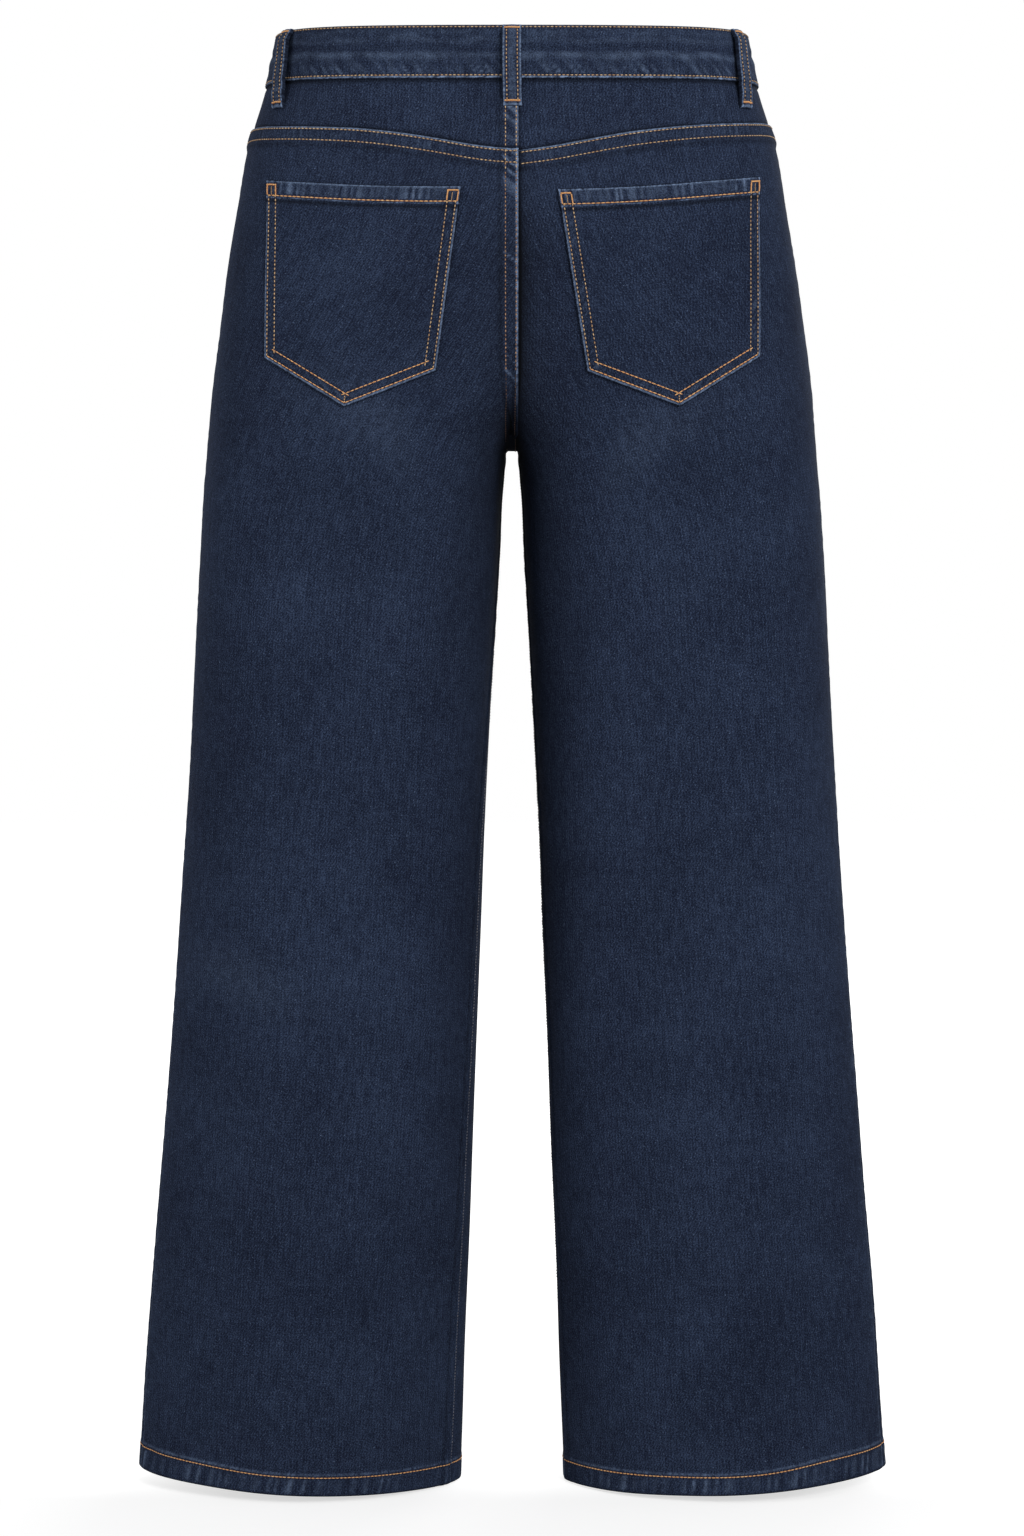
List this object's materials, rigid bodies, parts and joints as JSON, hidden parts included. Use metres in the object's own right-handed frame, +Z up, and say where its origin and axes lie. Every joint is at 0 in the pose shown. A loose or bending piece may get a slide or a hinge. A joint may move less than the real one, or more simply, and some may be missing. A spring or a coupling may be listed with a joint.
{
  "type": "wide leg jeans",
  "caption": "Full-length wide leg denim jeans in their worn, hollow form, open at the waist and hems, with belt loops, a back yoke and patch pockets.",
  "frame": {"origin": "middle of the waist opening, half way up the waistband", "axes": "+Z up, +Y the way the wearer faces, +X the wearer's right"},
  "size_m": [0.5412, 0.255, 1.0417],
  "materials": {
    "denim": "dark indigo right-hand twill, dry and matt, paler on worn folds",
    "button_metal": "aged copper-coloured shank button, satin"
  },
  "bodies": {
    "root": {"waistband": "denim", "yoke_left": "denim", "yoke_right": "denim", "back_panel_left": "denim", "back_panel_right": "denim", "back_pocket_left": "denim", "back_pocket_right": "denim", "front_panel_left": "denim", "front_panel_right": "denim", "pocket_facing_left": "denim", "pocket_facing_right": "denim", "belt_loop_back": "denim", "belt_loop_side_left": "denim", "belt_loop_side_right": "denim", "belt_loop_front_left": "denim", "belt_loop_front_right": "denim", "shank_button": "button_metal"}
  },
  "joints": []
}
